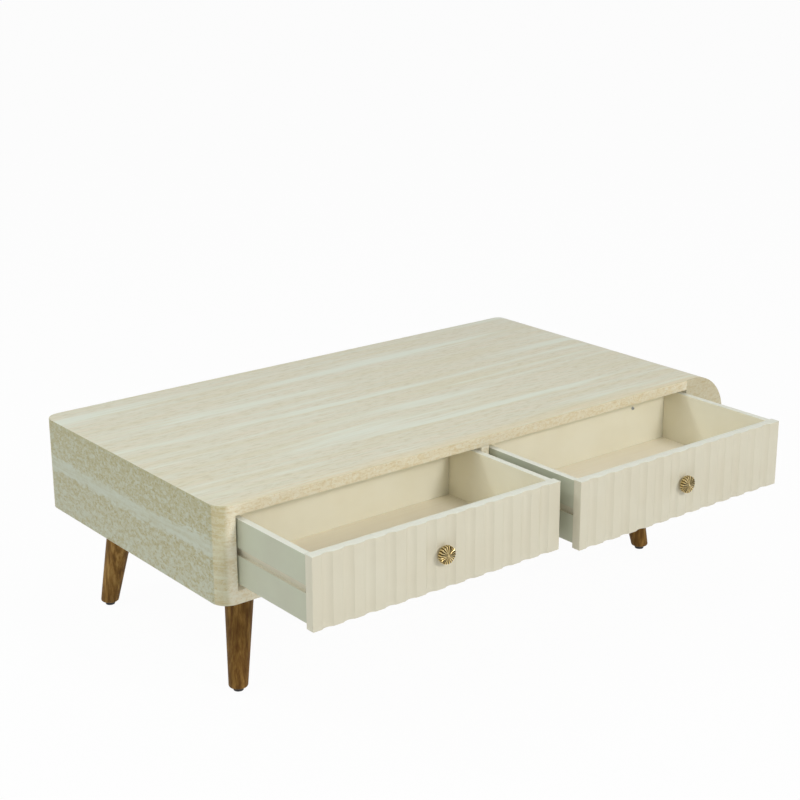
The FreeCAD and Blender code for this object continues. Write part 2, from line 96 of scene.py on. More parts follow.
class Shade:
    # one material's node tree, or the world's
    def __init__(self, name, tree=None):
        if tree is None:
            self.material = bpy.data.materials.new(name)
            self.material.use_nodes = True
            tree = self.material.node_tree
        self.tree = tree
        tree.nodes.clear()

    def node(self, kind, settings=None, sockets=None, out=0):
        made = self.tree.nodes.new("ShaderNode" + kind)
        for key, value in (settings or {}).items():
            setattr(made, key, value)
        for key, value in (sockets or {}).items():
            if isinstance(value, Wire):
                self.tree.links.new(value.socket, made.inputs[key])
            else:
                made.inputs[key].default_value = value
        return Wire(self, made.outputs[out]) if made.outputs else made

    def math(self, operation, *values):
        return self.node("Math", {"operation": operation}, dict(enumerate(values)))

    def step(self, value, low, high):
        # smooth 0 to 1 while value goes from low to high
        sockets = {"Value": value, "From Min": low, "From Max": high}
        return self.node("MapRange", {"interpolation_type": "SMOOTHSTEP"}, sockets)

    def mix(self, factor, first, second, blend="MIX"):
        settings = {"data_type": "RGBA", "blend_type": blend}
        return self.node("Mix", settings, {0: factor, 6: first, 7: second}, out=2)

    def split(self, vector):
        return [self.node("SeparateXYZ", None, {0: vector}, out=axis) for axis in range(3)]

    def place(self):
        # where a point is, in metres, as three values
        return self.split(self.node("TexCoord", out="Object"))

    def facing(self):
        # which way the surface looks there, as three values
        return self.split(self.node("NewGeometry", out="Normal"))

    def noise(self, spot, grain):
        # grain: scale of each of the spot's three values, then detail, roughness and distortion
        scaled = {axis: spot[axis] * grain[axis] for axis in range(3)}
        sockets = {"Vector": self.node("CombineXYZ", None, scaled), "Scale": 1.0}
        sockets |= dict(zip(("Detail", "Roughness", "Distortion"), grain[3:]))
        return self.node("TexNoise", None, sockets)

    def bump(self, height, strength, distance):
        return self.node("Bump", None, {"Strength": strength, "Distance": distance, "Height": height})

    def surface(self, **sockets):
        named = {key.replace("_", " "): value for key, value in sockets.items()}
        shader = self.node("BsdfPrincipled", None, named)
        self.node("OutputMaterial", None, {"Surface": shader})
        return self.material


stoneLook = {
    # top
    "rose": tint(209, 201, 180), "grey": tint(204, 202, 183), "sand": tint(204, 197, 169),
    "tan": tint(187, 177, 145), "pale": tint(212, 217, 204),
    "frontStrip": 0.035,                       # yellower strip along the front edge, metres
    # left end
    "sideSand": tint(176, 169, 133), "sideTan": tint(163, 152, 109), "sidePale": tint(190, 193, 175),
    "bandPale": tint(196, 201, 188),
    "bandHigh": 0.288, "bandTall": 0.014,      # broad pale band on the upright faces, metres
    # front and back
    "edgeSand": tint(230, 220, 194), "edgeTan": tint(215, 197, 156), "edgePale": tint(238, 237, 224),
    "cornerPaintedShade": tint(221, 220, 204),        # painted shade: multiplies the colour of the rounded corners
}
stoneGrain = {
    # shift of the seed, scale along the veins and across them, detail, roughness, distortion
    "wander": (11.0, 1.7, 5.0, 4.0, 0.6, 0.0),
    "veins": (0.0, 1.2, 23.0, 3.0, 0.55, 0.0),
    "lines": (9.0, 2.4, 52.0, 2.0, 0.5, 0.0),
    "streaks": (3.0, 9.0, 160.0, 3.0, 0.65, 0.0),
    "dashes": (5.0, 38.0, 215.0, 3.0, 0.68, 0.0),
    "grains": (7.0, 150.0, 185.0, 3.0, 0.65, 0.8),
    "blotches": (13.0, 64.0, 100.0, 5.0, 0.74, 0.3),
}
endLook = {"tone": tint(225, 223, 214), "mean": tint(214, 204, 174), "calm": 0.1}


def stoneLaminate(name, seed, look=None):
    # vein-cut stone print: pale veins along the top, mottled with one broad band round the sides
    shade = Shade(name)
    x, y, z = shade.place()
    facingX, facingY, facingZ = shade.facing()
    level = shade.math("MAXIMUM", abs(facingZ), facingX)
    flat = shade.step(level, 0.45, 0.75)      # top, bottom and half-round end
    side = 1 - flat
    run = (x - y) + flat * (y - z)
    across = z + flat * (y - z)

    def grain(key, over):
        shift, along, cross, *rest = stoneGrain[key]
        return shade.noise((run, over, seed + shift), (along, cross, 1.0, *rest))

    wander = grain("wander", across) - 0.5
    drift = across + wander * 0.03
    veins, lines, streaks = (grain(key, drift) for key in ("veins", "lines", "streaks"))
    dashes, grains, blotches = (grain(key, across) for key in ("dashes", "grains", "blotches"))
    ragged = 0.45 * (streaks - 0.5) + 0.25 * (dashes - 0.5)
    strokes = shade.step(dashes, 0.46, 0.66)
    specks = shade.step(grains, 0.50, 0.36)

    # top: grey and rose ground, tan strokes, yellower front strip, pale veins
    colour = shade.mix(shade.step(streaks, 0.38, 0.62), stoneLook["grey"], stoneLook["rose"])
    colour = shade.mix(shade.step(lines, 0.52, 0.36) * 0.6, colour, stoneLook["sand"])
    colour = shade.mix(strokes * 0.62, colour, stoneLook["tan"])
    strip = shade.step(y + wander * 0.06, topLow.y + stoneLook["frontStrip"], topLow.y)
    colour = shade.mix(strip * 0.4, colour, stoneLook["edgeTan"])
    topVeins = shade.step(veins + 0.7 * ragged, 0.52, 0.68)
    topLines = shade.step(lines + 0.6 * ragged, 0.56, 0.74) * 0.7
    topPale = shade.math("MAXIMUM", topVeins, topLines) * 0.72
    colour = shade.mix(topPale, colour, stoneLook["pale"])

    # left end: mottled, palest in the band, a little darker near the top
    high = abs(z + wander * 0.05 - stoneLook["bandHigh"]) / stoneLook["bandTall"]
    sideBand = 1 - shade.step(high - 2.4 * ragged - 3.4 * (blotches - 0.5), 0.6, 1.4)
    lower = 0.05 * shade.step(z, stoneLook["bandHigh"] - 0.02, stoneLook["bandHigh"] - 0.07)
    upper = 0.05 * shade.step(z, topHigh.z - 0.03, topHigh.z - 0.005)
    mottle = blotches + 0.5 * (grains - 0.5) + 0.3 * (dashes - 0.5) + lower - upper
    spots = shade.step(mottle, 0.39, 0.68) * 0.85
    sidePale = shade.math("MAXIMUM", sideBand * (0.55 + 0.4 * spots), spots)
    sideMarks = shade.math("MAXIMUM", specks, strokes * 0.6)
    sideColour = shade.mix(sideMarks, stoneLook["sideSand"], stoneLook["sideTan"])
    sideColour = shade.mix(sidePale, sideColour, stoneLook["sidePale"])
    bandStreaks = sideBand * shade.step(streaks, 0.36, 0.66) * 0.55
    sideColour = shade.mix(bandStreaks, sideColour, stoneLook["bandPale"])
    colour = shade.mix(side, colour, sideColour)

    # front and back: yellower and veined, with painted shade where the corners turn
    edgeMarks = shade.math("MAXIMUM", specks * 0.6, strokes)
    edgeColour = shade.mix(edgeMarks, stoneLook["edgeSand"], stoneLook["edgeTan"])
    edgeColour = shade.mix(sidePale * 0.6, edgeColour, stoneLook["edgePale"])
    turned = shade.step(abs(facingY), 0.99, 0.80)
    cornerTan = shade.step(lines + ragged, 0.48, 0.36) * turned * 0.7
    edgeColour = shade.mix(cornerTan, edgeColour, stoneLook["edgeTan"])
    cornerPale = shade.step(lines + ragged, 0.54, 0.64) * turned * 0.8
    edgeColour = shade.mix(cornerPale, edgeColour, stoneLook["edgePale"])
    # painted shade on the rounded corners, growing as they turn from the front
    edgeColour = shade.mix(turned, edgeColour, stoneLook["cornerPaintedShade"], "MULTIPLY")
    colour = shade.mix(shade.step(abs(facingY), 0.18, 0.28) * side, colour, edgeColour)
    if look:      # the half-round end's front and back: a calmer, darker copy of the print
        colour = shade.mix(look["calm"], colour, look["mean"])
        colour = shade.mix(1.0, colour, look["tone"], "MULTIPLY")
    relief = shade.bump(dashes + grains, 0.10, 0.0004)
    return shade.surface(Base_Color=colour, Roughness=0.42 + 0.14 * streaks, Normal=relief)


creamLook = {
    "front": {"paint": tint(213, 207, 187), "shade": tint(211, 204, 183)},
    # inside and side: lighter copies of the front's lacquer, painted light on the inner faces
    "inside": {"paint": tint(229, 225, 207), "shade": tint(226, 221, 201)},
    "side": {"paint": tint(236, 230, 209), "shade": tint(233, 226, 203)},
    # outside: a darker, greener copy, painted shade on the sides' outer faces
    "outside": {"paint": tint(189, 191, 169), "shade": tint(185, 185, 164)},
    "edge": {"paint": tint(217, 217, 204), "shade": tint(215, 214, 200)},
}
creamGrain = {
    # scale along x, y and z, detail, roughness, distortion
    "cloud": (14.0, 14.0, 14.0, 3.0, 0.5, 0.0),
    "peel": (480.0, 480.0, 480.0, 2.0, 0.5, 0.0),
}


def creamLacquer(name, look):
    # sprayed lacquer: very faint clouding and orange peel
    shade = Shade(name)
    spot = shade.place()
    cloud = shade.noise(spot, creamGrain["cloud"])
    peel = shade.noise(spot, creamGrain["peel"])
    colour = shade.mix(shade.step(cloud, 0.3, 0.7), look["shade"], look["paint"])
    relief = shade.bump(peel, 0.06, 0.0003)
    return shade.surface(Base_Color=colour, Roughness=0.40 + 0.10 * cloud, Normal=relief)


boardLook = {"paint": tint(248, 241, 223), "shade": tint(246, 238, 219)}
boardGrain = {
    # scale along x, y and z, detail, roughness, distortion
    "fleck": (6.0, 160.0, 160.0, 3.0, 0.6, 0.0),
    "fibre": (300.0, 300.0, 300.0, 2.0, 0.5, 0.0),
}


def creamBoard(name, look):
    # matt papered board with a faint lengthwise print
    shade = Shade(name)
    spot = shade.place()
    fleck = shade.noise(spot, boardGrain["fleck"])
    fibre = shade.noise(spot, boardGrain["fibre"])
    colour = shade.mix(shade.step(fleck, 0.35, 0.65), look["shade"], look["paint"])
    relief = shade.bump(fibre, 0.08, 0.0003)
    return shade.surface(Base_Color=colour, Roughness=0.55 + 0.1 * fibre, Normal=relief)


woodLook = {
    "frontLeg": {"dark": tint(88, 58, 22), "mid": tint(121, 88, 40), "light": tint(152, 117, 63),
                 "specular": 0.12},
    # back legs: the same stain made lighter, painted light
    "backLegPaintedLight": {"dark": tint(103, 72, 32), "mid": tint(147, 109, 56), "light": tint(184, 145, 86),
                "specular": 0.12},
    "bare": {"dark": tint(150, 122, 84), "mid": tint(186, 160, 118), "light": tint(204, 182, 142),
             "specular": 0.3},
}
woodGrain = {
    # scale along x, y and z, detail, roughness, distortion
    "sway": (9.0, 9.0, 5.0, 2.0, 0.5, 0.0),
    "figure": (150.0, 150.0, 20.0, 4.0, 0.66, 0.0),
    "smudge": (55.0, 55.0, 24.0, 3.0, 0.55, 0.0),
    "pores": (480.0, 480.0, 55.0, 2.0, 0.55, 0.0),
}


def stainedWood(name, look):
    # stained hardwood with its grain upright: soft figure, dark pores
    shade = Shade(name)
    x, y, z = spot = shade.place()
    sway = (shade.noise(spot, woodGrain["sway"]) - 0.5) * 0.02
    figure = shade.noise((x + sway, y + sway, z), woodGrain["figure"])
    smudge = shade.noise(spot, woodGrain["smudge"])
    pores = shade.noise(spot, woodGrain["pores"])
    colour = shade.mix(shade.step(figure, 0.30, 0.60), look["dark"], look["mid"])
    colour = shade.mix(shade.step(figure, 0.48, 0.76), colour, look["light"])
    colour = shade.mix(shade.step(smudge, 0.50, 0.70) * 0.5, colour, look["dark"])
    colour = shade.mix(shade.step(pores, 0.52, 0.70) * 0.45, colour, look["dark"])
    relief = shade.bump(1 - pores, 0.15, 0.0004)
    return shade.surface(Base_Color=colour, Roughness=0.46 + 0.2 * pores, Normal=relief,
                         Specular_IOR_Level=look["specular"])


metalLook = {
    "brass": {"clean": tint(236, 217, 166), "worn": tint(216, 192, 134), "rough": 0.11},
    # a dark copy of the brass for the knobs' valleys: painted reflection
    "darkBrassPaintedReflection": {"clean": tint(104, 79, 33), "worn": tint(78, 57, 21), "rough": 0.15},
    "steel": {"clean": tint(178, 184, 192), "worn": tint(140, 145, 152), "rough": 0.32},
}
metalGrain = {
    # scale along x, y and z, detail, roughness, distortion
    "wear": (160.0, 160.0, 160.0, 4.0, 0.6, 0.0),
    "scuff": (900.0, 900.0, 240.0, 2.0, 0.5, 0.0),
}


def metal(name, look):
    # plated metal with handling marks
    shade = Shade(name)
    spot = shade.place()
    wear = shade.noise(spot, metalGrain["wear"])
    scuff = shade.noise(spot, metalGrain["scuff"])
    colour = shade.mix(shade.step(wear, 0.42, 0.68), look["clean"], look["worn"])
    relief = shade.bump(scuff, 0.05, 0.0002)
    rough = look["rough"] + 0.12 * scuff
    return shade.surface(Base_Color=colour, Metallic=1.0, Roughness=rough, Normal=relief)


padLook = {"face": tint(26, 25, 25), "dust": tint(46, 44, 42)}
padGrain = (900.0, 900.0, 900.0, 2.0, 0.5, 0.0)      # same order as for the metal


def blackPlastic(name, look):
    # moulded plastic: fine grain with dust in it
    shade = Shade(name)
    grain = shade.noise(shade.place(), padGrain)
    colour = shade.mix(shade.step(grain, 0.5, 0.75), look["face"], look["dust"])
    relief = shade.bump(grain, 0.2, 0.0003)
    return shade.surface(Base_Color=colour, Roughness=0.5 + 0.2 * grain, Normal=relief)


finishes = {
    "stone_laminate": stoneLaminate("stoneLaminate", 2.0),
    "cream_board": creamBoard("creamBoard", boardLook),
    "cream_lacquer": creamLacquer("creamLacquer", creamLook["front"]),
    "cream_inside": creamLacquer("creamInsidePaintedLight", creamLook["inside"]),
    "cream_side_painted_light": creamLacquer("creamSidePaintedLight", creamLook["side"]),
    "cream_outside_painted_shade": creamLacquer("creamOutsidePaintedShade", creamLook["outside"]),
    "cream_edge": creamLacquer("creamEdge", creamLook["edge"]),
    "plain_wood": stainedWood("bareHardwood", woodLook["bare"]),
    "leg_wood": stainedWood("stainedLegWood", woodLook["frontLeg"]),
    "leg_wood_back_painted_light": stainedWood("stainedBackLegWoodPaintedLight", woodLook["backLegPaintedLight"]),
    "brass": metal("goldPlate", metalLook["brass"]),
    "dark_brass_painted_reflection": metal("goldPlatePaintedReflection", metalLook["darkBrassPaintedReflection"]),
    "steel": metal("zincPlate", metalLook["steel"]),
    "black_plastic": blackPlastic("blackPlastic", padLook),
}
endStone = stoneLaminate("stoneLaminateEnd", 31.0, endLook)
for part in frame["record"]["subparts"]:
    slots = nodes[part["node"]].data.materials
    slots.clear()
    slots.append(finishes[part["material_slot"]])
print("materials made:", len(finishes) + 1)

boardForm = {
    "rimSteps": 4, "cornerSteps": 3,      # steps round a rim and round a corner
    "cornerShare": 1.3,                   # corner radius, in roundings of the rim
    "sharp": 35.0,                        # an edge that turns by more degrees stays sharp
}
mostly = 0.5                              # a face looks along an axis where its normal passes this
nearEdge, nearFace = 1e-5, 1e-4           # how near counts as touching, metres


def quarter(steps):
    # angles of a quarter turn
    return [step / steps * math.pi / 2 for step in range(steps + 1)]


def inward(outline, closed):
    # inward mitred normal at each point of an anticlockwise outline
    count = len(outline)
    sides = []
    for index in range(count if closed else count - 1):
        ahead = Vector(outline[(index + 1) % count]) - Vector(outline[index])
        sides.append(Vector((-ahead.y, ahead.x)).normalized())
    normals = []
    for index in range(count):
        after = sides[index] if index < len(sides) else sides[-1]
        before = sides[index - 1] if closed or index > 0 else after
        normals.append((before + after) / (1 + before.dot(after)))
    return normals


def skin(bm, rings, closed=True):
    # faces between rings of equal count, with the first and last ring filled
    count = len(rings[0])
    for lower, upper in zip(rings, rings[1:]):
        for index in range(count if closed else count - 1):
            after = (index + 1) % count
            bm.faces.new((lower[index], lower[after], upper[after], upper[index]))
    bm.faces.new(rings[0])
    bm.faces.new(rings[-1])


def upright(u, v, w):
    # an outline in plan, pushed upwards
    return u, v, w


def softPrism(outline, low, high, soft, place=upright, closed=True):
    # an outline pushed from low to high, with both rims rounded; an open one gets a flat end face
    bm = bmesh.new()
    normals = inward(outline, closed)
    levels = []
    for angle in quarter(boardForm["rimSteps"]):
        levels.append((low + soft * (1 - math.cos(angle)), soft * (1 - math.sin(angle))))
    levels += [(low + high - level, inset) for level, inset in reversed(levels)]
    rings = []
    for level, inset in levels:
        spots = [(u + n.x * inset, v + n.y * inset) for (u, v), n in zip(outline, normals)]
        rings.append([bm.verts.new(place(u, v, level)) for u, v in spots])
    skin(bm, rings, closed)
    if not closed:
        bm.faces.new([ring[0] for ring in rings] + [ring[-1] for ring in reversed(rings)])
    bmesh.ops.recalc_face_normals(bm, faces=bm.faces)
    return bm


def ringMesh(rings):
    bm = bmesh.new()
    skin(bm, [[bm.verts.new(spot) for spot in ring] for ring in rings])
    bmesh.ops.recalc_face_normals(bm, faces=bm.faces)
    return bm


def arc(centreU, centreV, radius, start, stop, steps):
    points = []
    for step in range(steps + 1):
        angle = math.radians(start + (stop - start) * step / steps)
        points.append((centreU + radius * math.cos(angle), centreV + radius * math.sin(angle)))
    return points


def softCorners(corners, radius):
    # outline whose right-angled corners are rounded; a corner given with True stays sharp
    outline = []
    count = len(corners)
    for index, (u, v, sharp) in enumerate(corners):
        here = Vector((u, v))
        if sharp:
            outline.append((u, v))
            continue
        before = (Vector(corners[index - 1][:2]) - here).normalized()
        after = (Vector(corners[(index + 1) % count][:2]) - here).normalized()
        centre = here + (before + after) * radius
        for angle in quarter(boardForm["cornerSteps"]):
            spot = centre - after * radius * math.cos(angle) - before * radius * math.sin(angle)
            outline.append((spot.x, spot.y))
    return outline


def softBoard(low, high, soft):
    corners = [(low.x, low.y), (high.x, low.y), (high.x, high.y), (low.x, high.y)]
    outline = softCorners([(u, v, False) for u, v in corners], soft * boardForm["cornerShare"])
    return softPrism(outline, low.z, high.z, soft)


def smooth(mesh, sharp):
    mesh.shade_smooth()
    mesh.set_sharp_from_angle(angle=math.radians(sharp))


def addPiece(name, bm, finish, body, stands, sharp=boardForm["sharp"]):
    mesh = bpy.data.meshes.new(name)
    bm.to_mesh(mesh)
    bm.free()
    smooth(mesh, sharp)
    mesh.materials.append(finish)
    piece = bpy.data.objects.new(name, mesh)
    scene.collection.objects.link(piece)
    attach(piece, body)
    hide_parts(*stands)
    return piece


def refinish(piece, finish, chosen):
    # gives the faces that chosen() picks another finish
    piece.data.materials.append(finish)
    for face in piece.data.polygons:
        if chosen(face):
            face.material_index = len(piece.data.materials) - 1


caseWrap = {
    "cornerRound": 0.030, "cornerSteps": 14,     # left corners in plan, metres
    "soft": 0.0012,                              # rounding of the outer rims
    "mouthSoft": 0.0005, "mouthSteps": 2,        # rounding of the bays' mouth
    "endSteps": 48,                              # steps round the half-round end
    "cutPast": 0.05,                             # how far the bays' cutter stands out of the case
    "innerFace": -0.9,                           # the end's inner face looks this far to the left
}
floorLow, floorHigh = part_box("bottom_panel")
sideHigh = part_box("left_side_panel")[1]
endLow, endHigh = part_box("end_curve_panel")
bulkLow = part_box("right_bulkhead")[0]


def bayCutter():
    past = caseWrap["cutPast"]
    lowest = Vector((sideHigh.x, topLow.y - past, floorHigh.z))
    highest = Vector((topHigh.x + past, topHigh.y + past, topLow.z))
    bm = bmesh.new()
    bmesh.ops.create_cube(bm, size=1.0)
    for vertex in bm.verts:
        vertex.co = [lowest[axis] if vertex.co[axis] < 0 else highest[axis] for axis in range(3)]
    mesh = bpy.data.meshes.new("bayCut")
    bm.to_mesh(mesh)
    bm.free()
    cutter = bpy.data.objects.new("bayCut", mesh)
    scene.collection.objects.link(cutter)
    return cutter


def withBays(piece):
    # the piece's mesh with the bays cut through it from front to back
    cutter = bayCutter()
    cut = piece.modifiers.new("bay", "BOOLEAN")
    cut.operation = "DIFFERENCE"
    cut.solver = "EXACT"
    cut.object = cutter
    depsgraph = bpy.context.evaluated_depsgraph_get()
    opened = bpy.data.meshes.new_from_object(piece.evaluated_get(depsgraph))
    piece.modifiers.remove(cut)
    bpy.data.objects.remove(cutter)
    bm = bmesh.new()
    bm.from_mesh(opened)
    return bm


def atMouth(edge):
    # an edge of the bays' opening in the front or back face
    def on(axis, *planes):
        ends = [vertex.co[axis] for vertex in edge.verts]
        return all(any(abs(end - plane) < nearEdge for plane in planes) for end in ends)

    return on(1, topLow.y, topHigh.y) and (on(2, topLow.z, floorHigh.z) or on(0, sideHigh.x))


def inBay(face):
    spot = face.center
    between = floorHigh.z - nearFace < spot.z < topLow.z + nearFace
    return between and spot.x > sideHigh.x - nearFace and abs(face.normal.y) < mostly


def caseShell():
    # top, left side and bottom as one wrapped skin, open towards the half-round end
    front, back, left, right = topLow.y, topHigh.y, topLow.x, topHigh.x
    corner, steps = caseWrap["cornerRound"], caseWrap["cornerSteps"]
    outline = [(right, back)]
    outline += arc(left + corner, back - corner, corner, 90, 180, steps)
    outline += arc(left + corner, front + corner, corner, 180, 270, steps)
    outline += [(right, front)]
    wrap = softPrism(outline, floorLow.z, topHigh.z, caseWrap["soft"], closed=False)
    piece = addPiece("caseWrap", wrap, finishes["stone_laminate"], "case",
                     ["top_panel", "bottom_panel", "left_side_panel"])
    bm = withBays(piece)
    mouth = [edge for edge in bm.edges if atMouth(edge)]
    bmesh.ops.bevel(bm, geom=mouth, offset=caseWrap["mouthSoft"], segments=caseWrap["mouthSteps"],
                    profile=0.5, affect="EDGES")
    bm.to_mesh(piece.data)
    bm.free()
    smooth(piece.data, boardForm["sharp"])
    refinish(piece, finishes["cream_board"], inBay)


def halfRoundEnd():
    # bulkhead, caps and bent panel as one solid end; front and back get a calmer, darker copy of the
    # print
    middle = (endLow.z + endHigh.z) / 2
    radius = (endHigh.z - endLow.z) / 2
    outline = [(bulkLow.x, endLow.z)]
    outline += arc(endHigh.x - radius, middle, radius, -90, 90, caseWrap["endSteps"])
    outline += [(bulkLow.x, endHigh.z)]
    bm = softPrism(outline, topLow.y, topHigh.y, caseWrap["soft"],
                   lambda u, v, w: (u, w, v), closed=False)
    piece = addPiece("halfRoundEnd", bm, finishes["stone_laminate"], "case",
                     ["right_bulkhead", "end_cap_front", "end_cap_back", "end_curve_panel", "end_rib"])
    refinish(piece, endStone, lambda face: abs(face.normal.y) > mostly)
    refinish(piece, finishes["cream_board"], lambda face: face.normal.x < caseWrap["innerFace"])


caseShell()
halfRoundEnd()
insideBoards = {"center_divider": 0.0006, "back_panel": 0.0008}      # rounding of the edges, metres
for node, soft in insideBoards.items():
    bm = softBoard(*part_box(node), soft)
    piece = addPiece(node + "Board", bm, finishes["cream_board"], "case", [node])
    if node == "center_divider":      # its front edge is part of the stone face
        refinish(piece, finishes["stone_laminate"], lambda face: face.normal.y < -mostly)
print("case made")

flutedFront = {
    "first": 0.028, "pitch": 0.041, "half": 0.011, "deep": 0.0035,    # metres, as in the solid front
    "samples": 16, "soft": 0.0009, "cornerShare": 1.2, "sharp": 28.0,
}


def flutedBoard(node):
    low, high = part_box(node)
    first, pitch, half, deep = (flutedFront[key] for key in ("first", "pitch", "half", "deep"))
    bend = (half ** 2 + deep ** 2) / (2 * deep)      # radius of a flute
    soft, steps = flutedFront["soft"] * flutedFront["cornerShare"], boardForm["cornerSteps"]
    outline = arc(low.x + soft, low.y + soft, soft, 180, 270, steps)
    count = int((high.x - low.x - first - half) / pitch) + 1
    for flute in range(count):
        middle = low.x + first + flute * pitch
        for sample in range(flutedFront["samples"] + 1):
            share = 2 * sample / flutedFront["samples"] - 1
            dip = deep - bend + math.sqrt(bend ** 2 - (share * half) ** 2)
            outline.append((middle + share * half, low.y + dip))
    outline += arc(high.x - soft, low.y + soft, soft, 270, 360, steps)
    outline += arc(high.x - soft, high.y - soft, soft, 0, 90, steps)
    outline += arc(low.x + soft, high.y - soft, soft, 90, 180, steps)
    return softPrism(outline, low.z, high.z, flutedFront["soft"])


drawerBoard = {
    "soft": 0.0008, "cornerShare": 1.2, "baseSoft": 0.0004,
    "grooveDeep": 0.006, "grooveTall": 0.0136, "tongue": 0.004,
    "edgeAbove": 0.05,      # upward faces this far above the bottom belong to the side's top edge
}


def groovedSide(node, outerLeft, baseLow, baseHigh):
    # drawer side with the runner groove outside and the groove for the bottom inside
    low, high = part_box(node)
    thick, tall = high.x - low.x, high.z - low.z
    grooveLow = tall / 2 - drawerBoard["grooveTall"] / 2
    grooveHigh = grooveLow + drawerBoard["grooveTall"]
    deep, tongue = drawerBoard["grooveDeep"], drawerBoard["tongue"]
    corners = [
        (0, 0, False), (thick, 0, False),
        (thick, baseLow - low.z, True), (thick - tongue, baseLow - low.z, True),
        (thick - tongue, baseHigh - low.z, True), (thick, baseHigh - low.z, True),
        (thick, tall, False), (0, tall, False),
        (0, grooveHigh, True), (deep, grooveHigh, True), (deep, grooveLow, True), (0, grooveLow, True),
    ]
    outline = softCorners(corners, drawerBoard["soft"] * drawerBoard["cornerShare"])
    start, way = (low.x, 1) if outerLeft else (high.x, -1)
    return softPrism(outline, low.y, high.y, drawerBoard["soft"],
                     lambda u, v, w: (start + way * u, w, low.z + v))


def inGroove(face, node):
    # floor and ledges of the runner groove
    low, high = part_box(node)
    depth = min(face.center.x - low.x, high.x - face.center.x)
    beside = abs(face.center.z - (low.z + high.z) / 2) < drawerBoard["grooveTall"] / 2 + nearFace
    return beside and depth > drawerBoard["grooveDeep"] / 2 - nearFace


knobForm = {
    "petals": 20, "sharp": 18.0,
    "wave": (1, 0.5, 0, 0.5),               # share of the ray's depth, from one valley to the next
    "darkShare": 0.25,                      # painted dark reflection on each side of a valley, in petals
    "hub": 0.0015,                          # middle kept free of the painted reflection, metres
    # radius, reach from the drawer front, depth of the rays, scallop of the rim, all in millimetres
    "profile": [
        (6.8, 0.0, 0, 0), (6.8, 0.6, 0, 0), (6.2, 1.2, 0, 0), (6.6, 2.4, 0, 0),
        (9.0, 3.3, 0, 0.1), (13.0, 4.0, 0, 0.4), (15.4, 4.6, 0, 0.8), (16.0, 5.4, 0, 1.0),
        (16.0, 12.3, 0.1, 1.0), (15.8, 12.8, 0.6, 0.9), (15.3, 13.2, 1.2, 0.5), (11.5, 13.4, 0.9, 0),
        (8.0, 13.6, 0.62, 0), (4.5, 13.8, 0.34, 0), (2.0, 13.9, 0.14, 0), (0.8, 14.0, 0.04, 0),
    ],
}


def turns(count):
    return [2 * math.pi * index / count for index in range(count)]


def onAxis(centre, radius, turn, y):
    # a point of a ring round an axis that runs from front to back
    return centre.x + radius * math.cos(turn), y, centre.z + radius * math.sin(turn)


def starKnob(node):
    # turned stem with a thick head; sharp rays run over its face and down its scalloped rim
    low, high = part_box(node)
    centre = (low + high) / 2
    wave = knobForm["wave"]
    rings = []
    for radius, reach, ray, scallop in knobForm["profile"]:
        ring = []
        for index, turn in enumerate(turns(knobForm["petals"] * len(wave))):
            valley = wave[index % len(wave)]
            y = high.y - (reach - ray * valley) / 1000
            ring.append(onAxis(centre, (radius - scallop * valley) / 1000, turn, y))
        rings.append(ring)
    return ringMesh(rings)


def inValley(face, centre):
    # the half of each ray next to its valley, which gets the dark plating as a painted dark reflection
    u, v = face.center.x - centre.x, face.center.z - centre.z
    turn = math.atan2(v, u) / (2 * math.pi) * knobForm["petals"] % 1
    dark = min(turn, 1 - turn) < knobForm["darkShare"]
    return dark and math.hypot(u, v) > knobForm["hub"] and face.center.y < centre.y


screwForm = {
    "around": 24, "sharp": 30.0,
    "dome": [(3.3, 0.0), (3.3, 0.9), (3.0, 1.6), (2.4, 2.05)],     # radius and reach, millimetres
    "headTall": 2.2, "crown": 2.15,                                # whole head, rim of the recess
    "cross": 1.7, "slit": 0.585, "deep": 1.2,                      # the recess
    "armShare": 0.96,                                              # cosine at which an arm begins
}


def crossScrew(node):
    # pan head with a cross recess
    low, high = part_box(node)
    centre = (low + high) / 2
    headFoot = low.y + screwForm["headTall"] / 1000
    around = turns(screwForm["around"])
    rings = [[(radius, reach, turn) for turn in around] for radius, reach in screwForm["dome"]]
    for reach in (screwForm["crown"], screwForm["crown"] - screwForm["deep"]):
        ring = []
        for turn in around:
            arm = max(abs(math.cos(turn)), abs(math.sin(turn))) > screwForm["armShare"]
            ring.append((screwForm["cross" if arm else "slit"], reach, turn))
        rings.append(ring)
    return ringMesh([[onAxis(centre, radius / 1000, turn, headFoot - reach / 1000)
                      for radius, reach, turn in ring] for ring in rings])


